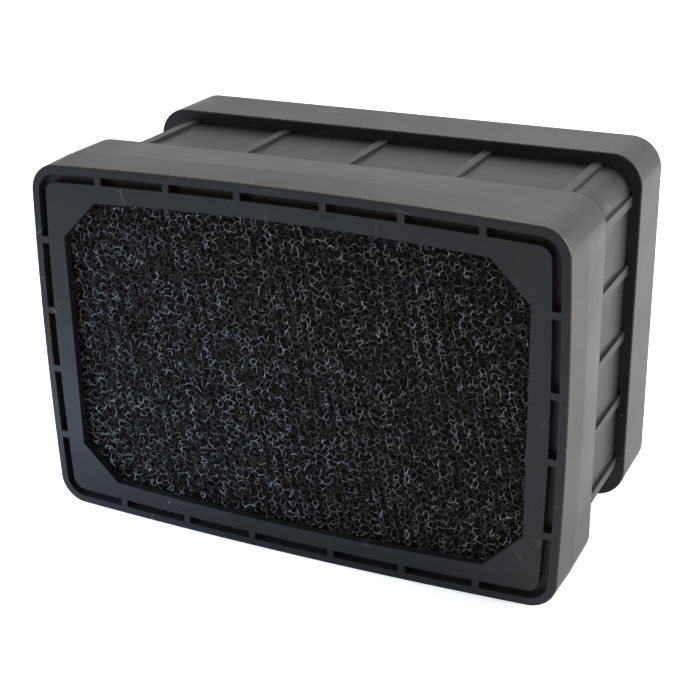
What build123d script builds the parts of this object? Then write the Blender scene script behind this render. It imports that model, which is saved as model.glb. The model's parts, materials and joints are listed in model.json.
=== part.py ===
"""Box air filter housing for a small engine: a pull-off front cover with an open foam window,
a ribbed body sleeve, a deep rear skirt and a pleated element that leaves through the rear.

Millimetres. +X is right, +Y runs from the inlet window to the outlet, +Z is up. The origin is
under the middle of the housing, on the surface that it stands on.
"""
from build123d import *
from math import hypot
import os

os.makedirs("parts", exist_ok=True)

# ---- driving sizes -------------------------------------------------------------------------
overall_depth = 108.5          # inlet face to the skirt's rear edge

front_half_width = 95.0        # inlet face, at its corners
front_half_height = 64.0
side_crown = 1.5               # how far the middle of each side bows out past its corners
top_crown = 2.1
front_corner = 10.0            # outer corner radius of the inlet face
least_corner = 1.5             # what a corner shrinks to when its outline moves inward
cover_depth = 35.0             # inlet face to the parting line
crease_depth = 16.0            # where the cover's draft changes
crease_flare = 0.5             # how far the cover has grown outward at the crease
cover_flare = 0.7              # and at the parting line, where the crowns have almost faded
rear_side_crown = 0.2
rear_top_crown = 0.9
cover_wall = 3.1
cover_edge_round = 0.8

rim_width = 2.9                # outer rim round the inlet face
pocket_width = 2.8             # cored pockets between the rim and the window frame
pocket_depth = 3.6
pocket_wall = 1.6
frame_thickness = 3.0          # the flat frame round the window
bridge_width = 2.4
bridges_across = (15.2, 41.6, 68.0)
bridges_up = (11.2, 37.3)

window_half_width = 83.7
window_half_height = 52.8
window_crown = 2.1
window_chamfer = 13.4

foam_thickness = 12.0
foam_gap = 0.3                 # soft pad to its neighbours
foam_side_gap = 0.5

cover_clearance = 0.2          # cover over the body's spigot
spigot_wall = 3.6
spigot_start = 11.0            # front edge of the spigot, from the inlet face
parting_gap = 0.15
seal_cord_width = 3.0
seal_groove_depth = 1.6
seal_cord_start = 24.0

grid_thickness = 4.0
grid_clearance = 0.2
grid_bar = 1.6
grid_rim = 5.0
grid_columns = 10
grid_rows = 7
lug_width = 8.0
lug_height = 3.2
lug_depth = 8.0
chamber_end = 42.0             # where the wide front chamber narrows to the bore

shoulder_end = 56.0            # where the body's outside has fallen to its floor between ribs
shoulder_drop = 0.75           # share of the fall that is done half way
body_half_width = 90.4
body_half_height = 60.2
body_corner = 9.0
body_wall = 2.9

rib_thickness = 3.4
rib_start = 40.0               # inside the shoulder, out of which the ribs emerge
rib_crest = 1.3                # height over the body's floor
top_rib_pitch = 39.5
side_rib_pitch = 24.7
rib_count = 5

skirt_step_side = 4.2          # how far the skirt stands out over the sleeve's floor
skirt_step_top = 4.8
skirt_corner = 11.2
skirt_front = 82.6             # front face of the skirt, from the inlet face
skirt_wall = 3.0
skirt_edge_round = 0.6
pad_length = 26.0
pad_depth = 12.0
pad_corner = 3.0
pad_offset = 58.0

element_clearance = 0.6
element_wall = 1.8
element_front = 34.0
element_seal_gap = 0.3
element_seal_thickness = 2.0
element_flange_thickness = 2.5
element_flange_clearance = 1.0
seal_width = 3.0
gasket_thickness = 4.0
gasket_width = 5.0

pleat_pitch = 5.4
pleat_paper = 0.45
pleat_margin = 3.0             # sleeve end to the pleat tips
potting_thickness = 3.0
bead_size = 1.2
bead_rows = (-32.0, 0.0, 32.0)
outlet_grid_thickness = 1.6
outlet_grid_bar = 1.4
outlet_grid_rim = 2.0
outlet_grid_columns = 16
outlet_grid_rows = 10

# ---- sizes that follow ---------------------------------------------------------------------
centre_height = front_half_height + top_crown + crease_flare
skirt_half_width = body_half_width + skirt_step_side
skirt_half_height = body_half_height + skirt_step_top
pad_height = centre_height - skirt_half_height
pocket_inset = rim_width + pocket_width
cavity_inset = pocket_inset + pocket_wall
foam_inset = cavity_inset + foam_side_gap
foam_start = frame_thickness + foam_gap
spigot_inset = cover_wall + cover_clearance
chamber_inset = spigot_inset + spigot_wall
grid_start = foam_start + foam_thickness + foam_gap
lug_start = grid_start + grid_thickness
bore_half_width = body_half_width - body_wall
bore_half_height = body_half_height - body_wall
bore_corner = body_corner - body_wall
skirt_floor_end = skirt_front + skirt_wall
sleeve_half_width = bore_half_width - element_clearance
sleeve_half_height = bore_half_height - element_clearance
outlet_half_width = sleeve_half_width - element_wall
outlet_half_height = sleeve_half_height - element_wall
sleeve_corner = bore_corner - element_clearance
outlet_corner = sleeve_corner - element_wall
seal_start = skirt_floor_end + element_seal_gap
flange_start = seal_start + element_seal_thickness
flange_end = flange_start + element_flange_thickness
flange_half_width = skirt_half_width - skirt_wall - element_flange_clearance
flange_half_height = skirt_half_height - skirt_wall - element_flange_clearance
flange_corner = skirt_corner - skirt_wall - element_flange_clearance
pleat_front = element_front + pleat_margin
pleat_rear = flange_start - outlet_grid_thickness - pleat_margin
pleat_half_height = outlet_half_height - potting_thickness
pleat_folds = 2 * int((2 * outlet_half_width - pleat_pitch / 2) / pleat_pitch)


# ---- shared shapes: flat, centred, and laid across the housing by depth_plane ----------------
def depth_plane(depth):
    """The plane across the housing at a depth behind the inlet face; its y runs downward."""
    middle = (0, depth - overall_depth / 2, centre_height)
    return Plane(origin=middle, x_dir=(1, 0, 0), z_dir=(0, 1, 0))


def crowned_shape(half_width, half_height, corner, side_bow, top_bow):
    """A rounded rectangle whose four sides bow outward."""
    corners = [(-half_width, half_height), (half_width, half_height)]
    corners += [(half_width, -half_height), (-half_width, -half_height)]
    middles = [(0, half_height + top_bow), (half_width + side_bow, 0)]
    middles += [(0, -half_height - top_bow), (-half_width - side_bow, 0)]
    with BuildSketch() as shape:
        with BuildLine():
            for side, middle in enumerate(middles):
                ThreePointArc(corners[side], middle, corners[(side + 1) % 4])
        make_face()
        fillet(shape.vertices(), corner)
    return shape.sketch


def front_shape(inset):
    """The inlet face's outline, moved inward by inset."""
    corner = max(front_corner - inset, least_corner)
    width, height = front_half_width - inset, front_half_height - inset
    return crowned_shape(width, height, corner, side_crown, top_crown)


def shoulder_shape(fall):
    """The outline at the parting line, fallen by a share of the way to the body's floor."""
    stay = 1 - fall
    width = body_half_width + stay * (front_half_width + cover_flare - body_half_width)
    height = body_half_height + stay * (front_half_height + cover_flare - body_half_height)
    corner = body_corner + stay * (front_corner + cover_flare - body_corner)
    return crowned_shape(width, height, corner, stay * rear_side_crown, stay * rear_top_crown)


def window_shape():
    """The inlet window: corners cut at 45 degrees, long sides bowed with the frame."""
    side = window_half_height - window_chamfer
    top = window_half_width - window_chamfer
    with BuildSketch() as shape:
        with BuildLine():
            for turn in (1, -1):
                start = (-turn * top, turn * window_half_height)
                middle = (0, turn * (window_half_height + window_crown))
                end = (turn * top, turn * window_half_height)
                ThreePointArc(start, middle, end)
                Line(end, (turn * window_half_width, turn * side))
                Line((turn * window_half_width, turn * side), (turn * window_half_width, -turn * side))
                Line((turn * window_half_width, -turn * side), (turn * top, -turn * window_half_height))
        make_face()
    return shape.sketch


def pocket_shape():
    """Twenty cored pockets in a row round the inlet face, parted by narrow bridges."""
    with BuildSketch() as shape:
        add(front_shape(rim_width))
        add(front_shape(pocket_inset), mode=Mode.SUBTRACT)
        for offset in bridges_across:
            with Locations((-offset, 0), (offset, 0)):
                Rectangle(bridge_width, 3 * front_half_height, mode=Mode.SUBTRACT)
        for offset in bridges_up:
            with Locations((0, -offset), (0, offset)):
                Rectangle(3 * front_half_width, bridge_width, mode=Mode.SUBTRACT)
    return shape.sketch


def lattice_shape(half_width, half_height, bar, columns, rows):
    """Rectangular openings in columns and rows, bars between them."""
    cell_width = (2 * half_width + bar) / columns
    cell_height = (2 * half_height + bar) / rows
    with BuildSketch() as shape:
        with GridLocations(cell_width, cell_height, columns, rows):
            Rectangle(cell_width - bar, cell_height - bar)
    return shape.sketch


def ring_shape(half_width, half_height, corner, width):
    """A flat rectangular ring."""
    with BuildSketch() as shape:
        RectangleRounded(2 * half_width, 2 * half_height, corner)
        inner = max(corner - width, 1.0)
        RectangleRounded(2 * (half_width - width), 2 * (half_height - width), inner, mode=Mode.SUBTRACT)
    return shape.sketch


def save(part, label):
    part.label = label
    export_step(part, f"parts/{label}.step")


# ---- front cover ---------------------------------------------------------------------------
with BuildPart() as front_cover:
    with BuildSketch(depth_plane(0)):
        add(front_shape(0))
    with BuildSketch(depth_plane(crease_depth)):
        add(front_shape(-crease_flare))
    loft(ruled=True)
    with BuildSketch(depth_plane(crease_depth)):
        add(front_shape(-crease_flare))
    with BuildSketch(depth_plane(cover_depth)):
        add(shoulder_shape(0))
    loft(ruled=True)
    inlet_face = front_cover.faces().sort_by(Axis.Y)[0]
    fillet(inlet_face.outer_wire().edges(), cover_edge_round)
    with BuildSketch(depth_plane(frame_thickness)):
        add(front_shape(cavity_inset))
    extrude(amount=cover_depth - frame_thickness, mode=Mode.SUBTRACT)
    with BuildSketch(depth_plane(pocket_depth + pocket_wall)):
        add(front_shape(cover_wall))
    extrude(amount=cover_depth - pocket_depth - pocket_wall, mode=Mode.SUBTRACT)
    with BuildSketch(depth_plane(0)):
        add(window_shape())
    extrude(amount=frame_thickness, mode=Mode.SUBTRACT)
    with BuildSketch(depth_plane(0)):
        add(pocket_shape())
    extrude(amount=pocket_depth, mode=Mode.SUBTRACT)

save(front_cover.part, "front_cover")


# ---- foam pre-filter -----------------------------------------------------------------------
with BuildPart() as prefilter_foam:
    with BuildSketch(depth_plane(foam_start)):
        add(front_shape(foam_inset))
    extrude(amount=foam_thickness)

save(prefilter_foam.part, "prefilter_foam")


# ---- foam support grid, dropped into the body's front chamber ------------------------------
with BuildPart() as foam_support_grid:
    with BuildSketch(depth_plane(grid_start)):
        add(front_shape(chamber_inset + grid_clearance))
        open_half_width = front_half_width - chamber_inset - grid_rim
        open_half_height = front_half_height - chamber_inset - grid_rim
        add(
            lattice_shape(open_half_width, open_half_height, grid_bar, grid_columns, grid_rows),
            mode=Mode.SUBTRACT,
        )
    extrude(amount=grid_thickness)

save(foam_support_grid.part, "foam_support_grid")


# ---- body: spigot, shoulder, ribbed sleeve -------------------------------------------------
shoulder_start = cover_depth + parting_gap
shoulder_middle = (shoulder_start + shoulder_end) / 2
top_ribs = [(number - (rib_count - 1) / 2) * top_rib_pitch for number in range(rib_count)]
side_ribs = [(number - (rib_count - 1) / 2) * side_rib_pitch for number in range(rib_count)]
lug_places = [side * bridge for bridge in bridges_across for side in (-1, 1)]


def sleeve_shape(grow):
    """The ribbed sleeve's flat-sided outline, grown outward from its floor."""
    with BuildSketch() as shape:
        RectangleRounded(2 * (body_half_width + grow), 2 * (body_half_height + grow), body_corner + grow)
    return shape.sketch


def rib_shape():
    """Bars through the sleeve, cut to the crest outline: each end of a bar is one rib."""
    with BuildSketch() as shape:
        with Locations(*[(offset, 0) for offset in top_ribs]):
            Rectangle(rib_thickness, 3 * body_half_height)
        with Locations(*[(0, offset) for offset in side_ribs]):
            Rectangle(3 * body_half_width, rib_thickness)
        add(sleeve_shape(rib_crest), mode=Mode.INTERSECT)
    return shape.sketch


def lug_shape():
    """Short stops on the chamber's long walls, which the support grid rests on."""
    reach = front_half_height - chamber_inset + top_crown
    with BuildSketch() as shape:
        with Locations(*[(offset, side * reach) for offset in lug_places for side in (-1, 1)]):
            Rectangle(lug_width, 2 * (lug_height + top_crown))
        add(front_shape(chamber_inset), mode=Mode.INTERSECT)
    return shape.sketch


with BuildPart() as body_shell:
    with BuildSketch(depth_plane(shoulder_start)):
        add(shoulder_shape(0))
    with BuildSketch(depth_plane(shoulder_middle)):
        add(shoulder_shape(shoulder_drop))
    with BuildSketch(depth_plane(shoulder_end)):
        add(sleeve_shape(0))
    loft()
    with BuildSketch(depth_plane(shoulder_end)):
        add(sleeve_shape(0))
    extrude(amount=skirt_front - shoulder_end)
    with BuildSketch(depth_plane(rib_start)):
        add(rib_shape())
    extrude(amount=skirt_front - rib_start)
    with BuildSketch(depth_plane(spigot_start)):
        add(front_shape(spigot_inset))
    extrude(amount=shoulder_start - spigot_start)
    with BuildSketch(depth_plane(spigot_start)):
        add(front_shape(chamber_inset))
    extrude(amount=chamber_end - spigot_start, mode=Mode.SUBTRACT)
    with BuildSketch(depth_plane(chamber_end)):
        RectangleRounded(2 * bore_half_width, 2 * bore_half_height, bore_corner)
    extrude(amount=skirt_front - chamber_end, mode=Mode.SUBTRACT)
    with BuildSketch(depth_plane(lug_start)):
        add(lug_shape())
    extrude(amount=lug_depth)
    with BuildSketch(depth_plane(seal_cord_start)):
        add(front_shape(spigot_inset))
        add(front_shape(spigot_inset + seal_groove_depth), mode=Mode.SUBTRACT)
    extrude(amount=seal_cord_width, mode=Mode.SUBTRACT)

save(body_shell.part, "body_shell")


# ---- sealing cord round the spigot, under the cover ----------------------------------------
with BuildPart() as cover_seal:
    with BuildSketch(depth_plane(seal_cord_start)):
        add(front_shape(spigot_inset))
        add(front_shape(spigot_inset + seal_groove_depth), mode=Mode.SUBTRACT)
    extrude(amount=seal_cord_width)

save(cover_seal.part, "cover_seal")


# ---- rear skirt, welded to the body's rear end ---------------------------------------------
with BuildPart() as rear_skirt:
    with BuildSketch(depth_plane(skirt_front)):
        RectangleRounded(2 * skirt_half_width, 2 * skirt_half_height, skirt_corner)
    extrude(amount=overall_depth - skirt_front)
    front_face = rear_skirt.faces().sort_by(Axis.Y)[0]
    fillet(front_face.outer_wire().edges(), skirt_edge_round)
    with BuildSketch(depth_plane(skirt_floor_end)):
        inside = skirt_corner - skirt_wall
        RectangleRounded(2 * (skirt_half_width - skirt_wall), 2 * (skirt_half_height - skirt_wall), inside)
    extrude(amount=overall_depth - skirt_floor_end, mode=Mode.SUBTRACT)
    with BuildSketch(depth_plane(skirt_front)):
        RectangleRounded(2 * bore_half_width, 2 * bore_half_height, bore_corner)
    extrude(amount=skirt_wall, mode=Mode.SUBTRACT)

save(rear_skirt.part, "rear_skirt")


# ---- two rubber pads under the skirt, so that the housing stands level ---------------------
pad_middle = (0, (skirt_front + overall_depth) / 2 - overall_depth / 2, 0)
with BuildPart() as rest_pads:
    with BuildSketch(Plane(origin=pad_middle)):
        with Locations((-pad_offset, 0), (pad_offset, 0)):
            RectangleRounded(pad_length, pad_depth, pad_corner)
    extrude(amount=pad_height)

save(rest_pads.part, "rest_pads")


# ---- pleated element: sleeve with a sealing flange, slides out through the skirt -----------
with BuildPart() as element_frame:
    with BuildSketch(depth_plane(element_front)):
        add(ring_shape(sleeve_half_width, sleeve_half_height, sleeve_corner, element_wall))
    extrude(amount=flange_end - element_front)
    with BuildSketch(depth_plane(flange_start)):
        flange_width = flange_half_width - outlet_half_width
        add(ring_shape(flange_half_width, flange_half_height, flange_corner, flange_width))
    extrude(amount=element_flange_thickness)

save(element_frame.part, "element_frame")


# at each fold the two faces of the paper lie this far apart along the fold's depth
fold_slope = (pleat_rear - pleat_front) / (pleat_pitch / 2)
pleat_mitre = pleat_paper * hypot(1, fold_slope)


def pleat_line(shift):
    """One face of the folded paper, tip by tip, moved back by shift."""
    start = -pleat_pitch * pleat_folds / 4
    front = pleat_front - overall_depth / 2 + shift
    back = pleat_rear - overall_depth / 2 + shift - pleat_mitre
    return [(start + fold * pleat_pitch / 2, (front, back)[fold % 2]) for fold in range(pleat_folds + 1)]


with BuildPart() as pleat_pack:
    with BuildSketch(Plane.XY.offset(centre_height - pleat_half_height)):
        with BuildLine():
            Polyline(*pleat_line(0), *reversed(pleat_line(pleat_mitre)), close=True)
        make_face()
    extrude(amount=2 * pleat_half_height)

save(pleat_pack.part, "pleat_pack")


def build_potting(side):
    """The cast strip that closes the cut ends of the pleats, along the top or the bottom."""
    with BuildPart() as strip:
        level = side * (pleat_half_height + potting_thickness / 2)
        with BuildSketch(depth_plane(pleat_front)):
            with Locations((0, level)):
                Rectangle(2 * (outlet_half_width - outlet_corner), potting_thickness)
        extrude(amount=pleat_rear - pleat_front)
    return strip.part


save(build_potting(1), "bottom_potting")
save(build_potting(-1), "top_potting")


def build_beads(start):
    """Hot-melt beads laid across the pleat tips, which keep the folds apart."""
    with BuildPart() as beads:
        with BuildSketch(depth_plane(start)):
            with Locations(*[(0, row) for row in bead_rows]):
                Rectangle(pleat_pitch * (pleat_folds - 1) / 2, bead_size)
        extrude(amount=bead_size)
    return beads.part


save(build_beads(pleat_front - bead_size), "front_beads")
save(build_beads(pleat_rear), "rear_beads")

with BuildPart() as outlet_grid:
    with BuildSketch(depth_plane(flange_start - outlet_grid_thickness)):
        RectangleRounded(2 * outlet_half_width, 2 * outlet_half_height, outlet_corner)
        open_half_width = outlet_half_width - outlet_grid_rim
        open_half_height = outlet_half_height - outlet_grid_rim
        add(
            lattice_shape(
                open_half_width, open_half_height, outlet_grid_bar, outlet_grid_columns, outlet_grid_rows
            ),
            mode=Mode.SUBTRACT,
        )
    extrude(amount=outlet_grid_thickness)

save(outlet_grid.part, "outlet_grid")

with BuildPart() as element_seal:
    with BuildSketch(depth_plane(seal_start)):
        add(ring_shape(flange_half_width, flange_half_height, flange_corner, seal_width))
    extrude(amount=element_seal_thickness)

save(element_seal.part, "element_seal")

with BuildPart() as outlet_gasket:
    with BuildSketch(depth_plane(flange_end)):
        add(ring_shape(flange_half_width, flange_half_height, flange_corner, gasket_width))
    extrude(amount=gasket_thickness)

save(outlet_gasket.part, "outlet_gasket")
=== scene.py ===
"""Looks of the air filter housing: moulded black plastic, open-cell foam, folded paper, seals."""
import json
import math

import bpy
import numpy as np
from mathutils import Matrix, Vector

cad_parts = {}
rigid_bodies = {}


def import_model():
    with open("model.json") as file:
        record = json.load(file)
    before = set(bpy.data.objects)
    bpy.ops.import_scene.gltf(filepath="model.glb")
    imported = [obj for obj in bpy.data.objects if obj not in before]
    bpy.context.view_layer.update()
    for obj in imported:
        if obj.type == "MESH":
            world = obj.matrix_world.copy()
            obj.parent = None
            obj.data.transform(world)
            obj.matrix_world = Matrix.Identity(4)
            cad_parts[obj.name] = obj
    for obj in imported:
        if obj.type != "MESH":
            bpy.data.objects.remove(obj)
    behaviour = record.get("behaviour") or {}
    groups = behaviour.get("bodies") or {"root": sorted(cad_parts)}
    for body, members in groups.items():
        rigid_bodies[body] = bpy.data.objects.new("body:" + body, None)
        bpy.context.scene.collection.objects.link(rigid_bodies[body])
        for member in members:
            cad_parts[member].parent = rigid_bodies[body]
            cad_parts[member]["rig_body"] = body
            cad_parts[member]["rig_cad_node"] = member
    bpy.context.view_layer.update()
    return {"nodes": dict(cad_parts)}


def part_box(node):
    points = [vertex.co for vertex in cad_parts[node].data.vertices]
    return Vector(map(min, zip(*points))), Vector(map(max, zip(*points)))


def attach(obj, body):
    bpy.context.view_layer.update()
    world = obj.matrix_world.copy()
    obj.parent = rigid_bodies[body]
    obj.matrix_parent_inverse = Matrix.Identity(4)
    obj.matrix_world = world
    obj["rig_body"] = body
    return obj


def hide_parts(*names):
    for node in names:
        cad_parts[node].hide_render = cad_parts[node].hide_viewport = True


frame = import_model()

MM = 0.001
nodes = frame["nodes"]

# ---- camera ---------------------------------------------------------------------------------
CAMERA_PLACE = Vector((0.2080, -0.4399, 0.2629))
CAMERA_AZIMUTH = math.radians(25.51)
CAMERA_ELEVATION = math.radians(22.96)
CAMERA_ROLL = math.radians(0.93)
CAMERA_LENS = 74.78


def make_camera():
    data = bpy.data.cameras.new("camera")
    camera = bpy.data.objects.new("camera", data)
    bpy.context.scene.collection.objects.link(camera)
    data.lens = CAMERA_LENS
    data.clip_start = 0.01
    level = math.cos(CAMERA_ELEVATION)
    aim = Vector((
        -math.sin(CAMERA_AZIMUTH) * level,
        math.cos(CAMERA_AZIMUTH) * level,
        -math.sin(CAMERA_ELEVATION),
    ))
    turn = aim.to_track_quat("-Z", "Y").to_matrix().to_4x4()
    roll = Matrix.Rotation(-CAMERA_ROLL, 4, "Z")
    camera.matrix_world = Matrix.Translation(CAMERA_PLACE) @ turn @ roll
    bpy.context.scene.camera = camera


# ---- materials --------------------------------------------------------------------------------
class Graph:
    """A material's node tree, with short calls for the nodes that these materials use."""

    def __init__(self, name):
        self.material = bpy.data.materials.new(name)
        self.material.use_nodes = True
        self.tree = self.material.node_tree
        self.shader = self.tree.nodes["Principled BSDF"]
        self.place = self.add("ShaderNodeTexCoord").outputs["Object"]

    def add(self, kind, **settings):
        node = self.tree.nodes.new(kind)
        for key, value in settings.items():
            setattr(node, key, value)
        return node

    def link(self, source, target):
        self.tree.links.new(source, target)

    def noise(self, size, detail=3.0, roughness=0.55, stretch=(1, 1, 1)):
        """Noise whose blobs are about size metres across."""
        mapping = self.add("ShaderNodeMapping")
        mapping.inputs["Scale"].default_value = stretch
        self.link(self.place, mapping.inputs["Vector"])
        node = self.add("ShaderNodeTexNoise")
        node.inputs["Scale"].default_value = 1.0 / size
        node.inputs["Detail"].default_value = detail
        node.inputs["Roughness"].default_value = roughness
        self.link(mapping.outputs["Vector"], node.inputs["Vector"])
        return node.outputs["Fac"]

    def cells(self, size, feature="F1", stretch=(1, 1, 1)):
        """Distance to the points or edges of cells about size metres across."""
        mapping = self.add("ShaderNodeMapping")
        mapping.inputs["Scale"].default_value = stretch
        self.link(self.place, mapping.inputs["Vector"])
        node = self.add("ShaderNodeTexVoronoi", feature=feature)
        node.inputs["Scale"].default_value = 1.0 / size
        self.link(mapping.outputs["Vector"], node.inputs["Vector"])
        return node.outputs["Distance"]

    def ramp(self, source, low, high, start=0.0, end=1.0):
        """source mapped from low..high to start..end, held at both ends."""
        node = self.add("ShaderNodeMapRange", clamp=True)
        node.inputs["From Min"].default_value = low
        node.inputs["From Max"].default_value = high
        node.inputs["To Min"].default_value = start
        node.inputs["To Max"].default_value = end
        self.link(source, node.inputs["Value"])
        return node.outputs["Result"]

    def math(self, operation, first, second):
        node = self.add("ShaderNodeMath", operation=operation)
        for socket, value in zip(node.inputs, (first, second)):
            if isinstance(value, (int, float)):
                socket.default_value = value
            else:
                self.link(value, socket)
        return node.outputs["Value"]

    def mix(self, factor, first, second):
        """A colour between first and second, each a colour or a socket."""
        node = self.add("ShaderNodeMix", data_type="RGBA")
        self.link(factor, node.inputs["Factor"])
        for key, value in (("A", first), ("B", second)):
            socket = [s for s in node.inputs if s.name == key and s.type == "RGBA"][0]
            if isinstance(value, tuple):
                socket.default_value = (*value, 1)
            else:
                self.link(value, socket)
        return [s for s in node.outputs if s.type == "RGBA"][0]

    def bump(self, height, distance, strength=1.0, below=None):
        node = self.add("ShaderNodeBump")
        node.inputs["Distance"].default_value = distance
        node.inputs["Strength"].default_value = strength
        self.link(height, node.inputs["Height"])
        if below is not None:
            self.link(below, node.inputs["Normal"])
        return node.outputs["Normal"]

    def set(self, **values):
        """Shader sockets by name: a plain value is set, a node's socket is linked."""
        for key, value in values.items():
            socket = self.shader.inputs[key.replace("_", " ")]
            if isinstance(value, bpy.types.NodeSocket):
                self.link(value, socket)
            else:
                socket.default_value = value
        return self.material


LINE_STRETCH = 0.03            # the draft lines' noise changes this much slower along them
SCRATCH_STRETCH = (1, 0.35, 1)
SCRATCH_GREY = (0.16, 0.16, 0.16)
DUST_GREY = (0.30, 0.29, 0.27)
PLASTIC_SPECULAR = 0.25


def satin_plastic(name, colour, roughness, draft_axis):
    """Black moulded plastic: faint lines stacked along draft_axis, fine grain, dust and scratches."""
    g = Graph(name)
    cloud = g.noise(size=30 * MM, detail=4)
    grain = g.noise(size=0.5 * MM, detail=2)
    stretch = [LINE_STRETCH] * 3
    stretch[draft_axis] = 1.0
    lines = g.noise(size=1.2 * MM, detail=2, stretch=tuple(stretch))
    specks = g.ramp(g.cells(size=4.5 * MM), low=0.075, high=0.045)
    dusty = g.math("MULTIPLY", specks, g.ramp(g.noise(size=12 * MM), low=0.56, high=0.64))
    edges = g.cells(size=11 * MM, feature="DISTANCE_TO_EDGE", stretch=SCRATCH_STRETCH)
    scratch = g.ramp(edges, low=0.010, high=0.004)
    patches = g.ramp(g.noise(size=7 * MM, detail=1), low=0.64, high=0.70)
    scratched = g.math("MULTIPLY", scratch, patches)
    base = g.mix(cloud, tuple(0.75 * c for c in colour), tuple(1.3 * c for c in colour))
    base = g.mix(g.math("MULTIPLY", scratched, 0.5), base, SCRATCH_GREY)
    base = g.mix(dusty, base, DUST_GREY)
    clean_rough = g.ramp(cloud, 0.3, 0.7, start=roughness - 0.04, end=roughness + 0.05)
    rough = g.math("ADD", clean_rough, g.ramp(dusty, 0, 1, start=0, end=0.3))
    normal = g.bump(lines, distance=0.04 * MM, strength=0.5)
    normal = g.bump(grain, distance=0.03 * MM, strength=0.6, below=normal)
    return g.set(Base_Color=base, Roughness=rough, Normal=normal, Specular_IOR_Level=PLASTIC_SPECULAR)


STRAND_DARK = (0.020, 0.020, 0.022)
STRAND_PALE = (0.26, 0.26, 0.27)
# the darkest painted shade of the foam, used deep behind its face and in the middle of its pores
FOAM_PAINTED_SHADE = (0.002, 0.002, 0.002)
SHADE_FADE_START = 0.1 * MM          # behind the pad's face, where the painted shade on the strands begins
SHADE_FADE_END = 1.5 * MM            # behind the pad's face, where the painted shade on the strands is at its darkest


def foam_strand():
    """Black polyurethane strands with painted shade: their colour darkens with depth behind the pad's open
    face, where less light reaches, so the front ones stay lighter.
    """
    g = Graph("foam_strand")
    cloud = g.noise(size=4 * MM, detail=3)
    base = g.mix(g.ramp(cloud, low=0.40, high=0.62), STRAND_DARK, STRAND_PALE)
    split = g.add("ShaderNodeSeparateXYZ")
    g.link(g.place, split.inputs["Vector"])
    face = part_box("prefilter_foam")[0][1]
    # painted shade: the strands' colour darkens with their depth behind the pad's face
    depth = g.ramp(split.outputs["Y"], face + SHADE_FADE_START, face + SHADE_FADE_END)
    base = g.mix(depth, base, FOAM_PAINTED_SHADE)
    return g.set(Base_Color=base, Roughness=0.30, Specular_IOR_Level=0.6)


def foam_body_with_painted_shade():
    """The foam behind the strands, with a porous bump for its sides and back; its near-black colour is
    partly the foam's own and partly painted shade, darkest in the middle of each pore.
    """
    g = Graph("foam_body_with_painted_shade")
    pores = g.cells(size=2.4 * MM, feature="DISTANCE_TO_EDGE")
    wall = g.ramp(pores, low=0.02, high=0.10, start=1.0, end=0.0)
    # painted shade: the middle of each pore is darker than its walls
    base = g.mix(wall, FOAM_PAINTED_SHADE, (0.028, 0.028, 0.028))
    normal = g.bump(wall, distance=0.6 * MM)
    return g.set(Base_Color=base, Roughness=0.85, Normal=normal, Specular_IOR_Level=0.1)


def filter_paper():
    """Tan resin-treated paper with long upright fibres."""
    g = Graph("filter_paper")
    fibre = g.noise(size=1.6 * MM, detail=5, stretch=(1, 1, 0.3))
    cloud = g.noise(size=20 * MM, detail=2)
    base = g.mix(cloud, (0.70, 0.60, 0.40), (0.80, 0.72, 0.52))
    fibres = g.ramp(fibre, low=0.55, high=0.75, start=0.0, end=0.5)
    base = g.mix(fibres, base, (0.60, 0.50, 0.33))
    normal = g.bump(fibre, distance=0.2 * MM, strength=0.6)
    return g.set(Base_Color=base, Roughness=0.85, Normal=normal)


def cast_resin(name, colour, roughness):
    """A cast or squeezed-out strip with a slightly uneven surface."""
    g = Graph(name)
    cloud = g.noise(size=8 * MM, detail=3)
    base = g.mix(cloud, tuple(0.8 * c for c in colour), colour)
    normal = g.bump(g.noise(size=3 * MM, detail=2), distance=0.4 * MM, strength=0.7)
    return g.set(Base_Color=base, Roughness=roughness, Normal=normal, Subsurface_Weight=0.15)


def rubber(name, colour, roughness):
    """Dark rubber with a finely pitted skin."""
    g = Graph(name)
    skin = g.cells(size=0.9 * MM)
    cloud = g.noise(size=10 * MM, detail=4)
    base = g.mix(cloud, tuple(0.7 * c for c in colour), tuple(1.4 * c for c in colour))
    normal = g.bump(skin, distance=0.12 * MM, strength=0.5)
    return g.set(Base_Color=base, Roughness=roughness, Normal=normal)


def dress(piece, material):
    piece.data.materials.clear()
    piece.data.materials.append(material)


# ---- foam -------------------------------------------------------------------------------------
FOAM_CELL = 3.05 * MM          # the period of the foam's lattice, which holds two cells
FOAM_TILTS = ((0.61, (0.4, 1.0, 0.3)), (0.37, (1.0, 0.1, 0.6)))  # radians about an axis
SPARE_CELLS = 1.5              # lattice kept past each side of the box, in periods
JITTER = 0.11                  # how far a corner strays, in periods
SWELLS = 5                     # waves that push whole patches of corners to and fro
SWELL_LENGTH = 9 * MM
SWELL_SIZE = 0.16 * MM
STRAND = 0.15 * MM             # a strut's radius
STRAND_SPREAD = (0.8, 1.25)    # the thinnest and the thickest strut, as a share of it
STRUT_SIDES = 3
STRAND_DEPTH = 2.5 * MM        # how far behind the pad's face the struts go
STRAND_PIECES = 3
CORE_BACK = 0.9                # the core's face lies this share of that depth behind the pad's; that face is a dark sheet standing in for the shade deep in the foam
FACE_REACH = 0.1 * MM          # what still counts as the pad's face
PAD_BOW = (1.5 * MM, 2.1 * MM)  # the pad's sides bow out past its corners by this much


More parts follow.
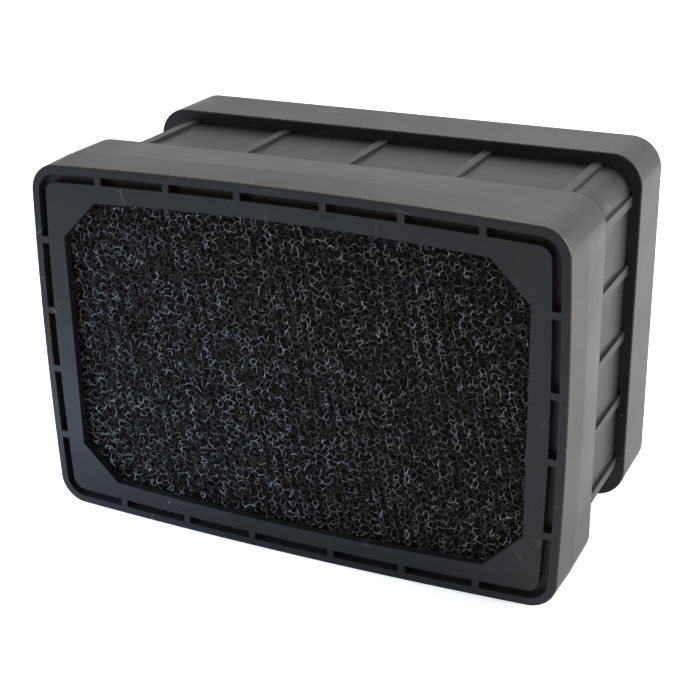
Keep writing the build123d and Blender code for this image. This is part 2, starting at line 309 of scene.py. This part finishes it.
def kelvin_struts(low, high, seed=7):
    """Corner points and strut ends of a jittered, tilted foam of fourteen-sided cells."""
    rng = np.random.default_rng(seed)
    middle = (low + high) / 2
    reach = np.linalg.norm(high - low) / 2 / FOAM_CELL + 1
    first, second = (Matrix.Rotation(angle, 3, Vector(axis)) for angle, axis in FOAM_TILTS)
    tilt = np.array(first @ second)
    half = (high - low) / 2 / FOAM_CELL + SPARE_CELLS
    # lattice points that fall in the box or just past it
    n = int(reach) + 1
    steps = np.arange(-n, n + 1)
    keep = []
    for i in steps:
        j, k = np.meshgrid(steps, steps, indexing="ij")
        cells = np.stack([np.full(j.size, i), j.ravel(), k.ravel()], 1)
        world = cells @ tilt.T
        keep.append(cells[(np.abs(world) < half).all(1)])
    cells = np.concatenate(keep)
    # the corners of the two cells at each lattice point, in quarters of its period
    corners = []
    for zero in range(3):
        for one in (-1, 1):
            for two in (-2, 2):
                for swap in (0, 1):
                    corner = [0, 0, 0]
                    others = [a for a in range(3) if a != zero]
                    corner[others[swap]] = one
                    corner[others[1 - swap]] = two
                    corners.append(corner)
    corners = np.array(corners)
    corners = np.concatenate([corners, corners + 2])
    points = (cells[:, None, :] * 4 + corners[None]).reshape(-1, 3)
    points = np.unique(points, axis=0)
    # a strut joins corners whose difference is one step along two axes
    span = points.max(0) - points.min(0) + 9
    offset = points.min(0) - 4

    def key(p):
        q = p - offset
        return (q[:, 0] * span[1] + q[:, 1]) * span[2] + q[:, 2]

    keys = key(points)
    order = np.argsort(keys)
    ends = []
    for a, b in ((0, 1), (0, 2), (1, 2)):
        for sign in (-1, 1):
            step = np.zeros(3, int)
            step[a] = 1
            step[b] = sign
            wanted = key(points + step)
            at = np.searchsorted(keys[order], wanted)
            at = np.minimum(at, len(order) - 1)
            found = keys[order][at] == wanted
            ends.append(np.stack([np.nonzero(found)[0], order[at[found]]], 1))
    ends = np.concatenate(ends)
    jitter = rng.normal(0, JITTER, points.shape)
    place = (points / 4 + jitter) @ tilt.T * FOAM_CELL + middle
    swell = np.zeros_like(place)
    for phase in rng.uniform(0, 6, SWELLS):
        wave = np.sin(place @ rng.normal(0, 1, 3) * 2 * np.pi / SWELL_LENGTH + phase)
        swell += wave[:, None] * rng.normal(0, 1, 3)
    return place + swell * SWELL_SIZE, ends


def strut_mesh(name, points, ends, radius):
    """Rods of STRUT_SIDES sides, open at both ends, between pairs of points."""
    a, b = points[ends[:, 0]], points[ends[:, 1]]
    along = b - a
    along /= np.linalg.norm(along, axis=1, keepdims=True)
    guide = np.where(np.abs(along[:, :1]) < 0.7, [[1.0, 0, 0]], [[0, 0, 1.0]])
    side = np.cross(along, guide)
    side /= np.linalg.norm(side, axis=1, keepdims=True)
    other = np.cross(along, side)
    rings = []
    for end in (a, b):
        for corner in range(STRUT_SIDES):
            turn = 2 * math.pi * corner / STRUT_SIDES
            rings.append(end + radius[:, None] * (math.cos(turn) * side + math.sin(turn) * other))
    co = np.stack(rings, 1).reshape(-1, 3)
    base = np.arange(len(a))[:, None] * 2 * STRUT_SIDES
    quads = []
    for corner in range(STRUT_SIDES):
        after = (corner + 1) % STRUT_SIDES
        quads.append(base + np.array([[corner, after, STRUT_SIDES + after, STRUT_SIDES + corner]]))
    quads = np.concatenate(quads)
    mesh = bpy.data.meshes.new(name)
    mesh.vertices.add(len(co))
    mesh.vertices.foreach_set("co", co.astype(np.float32).ravel())
    mesh.loops.add(quads.size)
    mesh.loops.foreach_set("vertex_index", quads.astype(np.int32).ravel())
    mesh.polygons.add(len(quads))
    mesh.polygons.foreach_set("loop_start", np.arange(0, quads.size, 4, dtype=np.int32))
    mesh.polygons.foreach_set("use_smooth", [True] * len(quads))
    mesh.update(calc_edges=True)
    mesh.validate()
    piece = bpy.data.objects.new(name, mesh)
    bpy.context.scene.collection.objects.link(piece)
    return piece


def make_foam():
    low, high = (np.array(v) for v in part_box("prefilter_foam"))
    front_high = np.array([high[0], low[1] + STRAND_DEPTH, high[2]])
    points, ends = kelvin_struts(low, front_high)
    middle, half = (low + high) / 2, (high - low) / 2
    share = (points - middle) / half
    reach_x = half[0] - PAD_BOW[0] * share[:, 2] ** 2
    reach_z = half[2] - PAD_BOW[1] * share[:, 0] ** 2
    inside = (points[:, 1] >= low[1]) & (points[:, 1] <= front_high[1])
    inside &= (np.abs(points[:, 0] - middle[0]) <= reach_x) & (np.abs(points[:, 2] - middle[2]) <= reach_z)
    ends = ends[inside[ends].all(1)]
    rng = np.random.default_rng(3)
    radius = STRAND * rng.uniform(*STRAND_SPREAD, len(ends))
    strand = foam_strand()
    order = np.argsort(points[ends].mean(1)[:, 0])
    for number, part in enumerate(np.array_split(order, STRAND_PIECES)):
        piece = strut_mesh(f"foam_strands_{number + 1}", points, ends[part], radius[part])
        dress(piece, strand)
        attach(piece, "foam_pad")
    body = nodes["prefilter_foam"].copy()
    body.data = nodes["prefilter_foam"].data.copy()
    body.name = "foam_pad_core"
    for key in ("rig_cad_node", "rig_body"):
        if key in body:
            del body[key]
    body.parent = None
    bpy.context.scene.collection.objects.link(body)
    co = np.zeros(len(body.data.vertices) * 3)
    body.data.vertices.foreach_get("co", co)
    co = co.reshape(-1, 3)
    # the core's front face, pushed back behind the strands, is a dark sheet standing in for the shade deep
    # in the foam
    front = co[:, 1] < low[1] + FACE_REACH
    co[front, 1] += STRAND_DEPTH * CORE_BACK
    body.data.vertices.foreach_set("co", co.ravel())
    dress(body, foam_body_with_painted_shade())
    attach(body, "foam_pad")
    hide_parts("prefilter_foam")


# ---- studio -----------------------------------------------------------------------------------
def area_light(name, place, aim, size, power, colour=(1, 1, 1)):
    data = bpy.data.lights.new(name, "AREA")
    data.shape = "RECTANGLE"
    data.size, data.size_y = size
    data.energy = power
    data.color = colour
    light = bpy.data.objects.new(name, data)
    bpy.context.scene.collection.objects.link(light)
    light.location = place
    light.rotation_euler = (Vector(aim) - Vector(place)).to_track_quat("-Z", "Y").to_euler()
    light.visible_camera = False
    return light


def seen_ray(tree):
    """1 on rays that show the background itself: camera, glossy and transmitted ones."""
    path = tree.nodes.new("ShaderNodeLightPath")
    total = path.outputs["Is Camera Ray"]
    for key in ("Is Glossy Ray", "Is Transmission Ray"):
        node = tree.nodes.new("ShaderNodeMath")
        node.operation = "MAXIMUM"
        tree.links.new(total, node.inputs[0])
        tree.links.new(path.outputs[key], node.inputs[1])
        total = node.outputs["Value"]
    return total


WORLD_FILL = 0.34              # the surroundings' strength on every ray that doesn't show them


def make_world():
    world = bpy.data.worlds.new("studio")
    bpy.context.scene.world = world
    world.use_nodes = True
    tree = world.node_tree
    back = tree.nodes["Background"]
    value = tree.nodes.new("ShaderNodeMapRange")
    value.inputs["To Min"].default_value = WORLD_FILL
    value.inputs["To Max"].default_value = 1.0
    tree.links.new(seen_ray(tree), value.inputs["Value"])
    tree.links.new(value.outputs["Result"], back.inputs["Strength"])
    back.inputs["Color"].default_value = (1, 1, 1, 1)


FLOOR_SIZE = 6
FLOOR_COLOUR = (0.86, 0.86, 0.86, 1)
FLOOR_LIFT = 0.68              # glow added on camera rays alone, so that the floor looks white


def make_floor():
    bpy.ops.mesh.primitive_plane_add(size=FLOOR_SIZE, location=(0, 0, 0))
    floor = bpy.context.object
    floor.name = "floor"
    g = Graph("floor")
    g.set(Base_Color=FLOOR_COLOUR, Roughness=0.9, Specular_IOR_Level=0.1)
    g.set(Emission_Color=(1, 1, 1, 1))
    seen = g.add("ShaderNodeLightPath").outputs["Is Camera Ray"]
    g.link(g.math("MULTIPLY", seen, FLOOR_LIFT), g.shader.inputs["Emission Strength"])
    dress(floor, g.material)


# ---- making -----------------------------------------------------------------------------------
make_camera()
make_world()
make_floor()
area_light("top_soft", (0.1, 0.5, 0.9), (0, 0, 0.05), (1.0, 0.8), 6)
area_light("right_soft", (1.0, 0.4, 0.5), (0, 0, 0.05), (0.8, 0.8), 26)
front_fill = area_light(
    "front_fill", (-0.15, -0.17, 0.07), (-0.06, -0.08, 0), (0.30, 0.06), 0.6, (0.62, 0.80, 1.0)
)
front_fill.visible_glossy = False

BLACK = (0.012, 0.0125, 0.0135)
FINISHES = {
    "front_cover": satin_plastic("cover_plastic", BLACK, 0.38, 2),
    "body_shell": satin_plastic("body_plastic", BLACK, 0.42, 1),
    "rear_skirt": satin_plastic("skirt_plastic", BLACK, 0.40, 2),
    "foam_support_grid": satin_plastic("grid_plastic", BLACK, 0.45, 0),
    "element_frame": satin_plastic("element_plastic", BLACK, 0.45, 0),
    "outlet_grid": satin_plastic("outlet_grid_plastic", BLACK, 0.45, 2),
    "cover_seal": rubber("seal_rubber", (0.02, 0.02, 0.02), 0.6),
    "rest_pads": rubber("pad_rubber", (0.016, 0.016, 0.016), 0.7),
    "element_seal": rubber("element_seal_rubber", (0.035, 0.035, 0.036), 0.65),
    "outlet_gasket": rubber("gasket_rubber", (0.035, 0.035, 0.036), 0.65),
    "pleat_pack": filter_paper(),
    "top_potting": cast_resin("potting", (0.62, 0.57, 0.44), 0.5),
    "bottom_potting": cast_resin("potting_lower", (0.62, 0.57, 0.44), 0.5),
    "front_beads": cast_resin("hot_melt", (0.80, 0.74, 0.58), 0.3),
    "rear_beads": cast_resin("hot_melt_rear", (0.80, 0.74, 0.58), 0.3),
}
for node, material in FINISHES.items():
    dress(nodes[node], material)

make_foam()

scene = bpy.context.scene
scene.view_settings.view_transform = "Standard"
